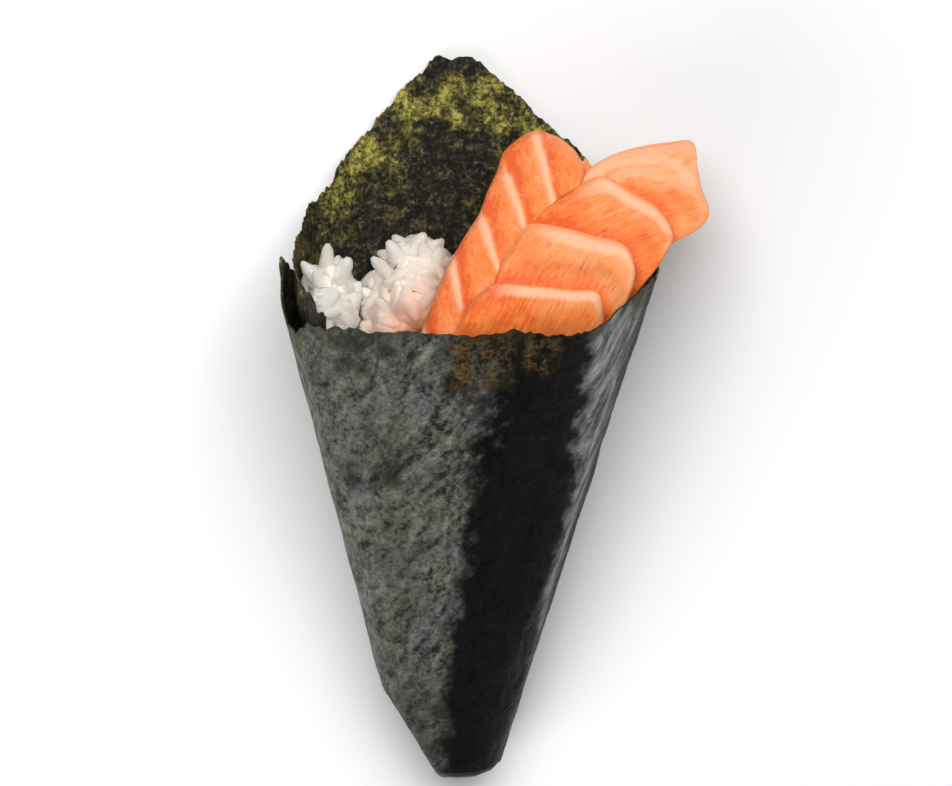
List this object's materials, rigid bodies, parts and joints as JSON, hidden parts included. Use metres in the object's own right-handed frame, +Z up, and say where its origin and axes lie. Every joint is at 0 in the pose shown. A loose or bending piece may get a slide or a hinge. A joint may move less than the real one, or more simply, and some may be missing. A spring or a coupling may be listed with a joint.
{
  "type": "temaki hand roll",
  "caption": "Cone of wound seaweed sheet round rice, with shingled salmon slices in its mouth, lying on its back.",
  "frame": {"origin": "centre of the footprint, on the surface that the roll lies on", "axes": "+X to the right of the roll, +Y along it from the folded end to the sheet's tip, +Z up out of its front"},
  "size_m": [0.0914, 0.1542, 0.0604],
  "materials": {
    "nori": "dark green-black pressed seaweed, semi-gloss outside and rougher inside",
    "rice": "moist off-white grains",
    "salmon": "moist orange flesh with pale fat lines"
  },
  "bodies": {
    "root": {"nori_wrap": "nori", "rice": "rice", "salmon_strip": "salmon", "salmon_slice_1": "salmon", "salmon_slice_2": "salmon", "salmon_slice_3": "salmon", "salmon_slice_4": "salmon"}
  },
  "joints": []
}
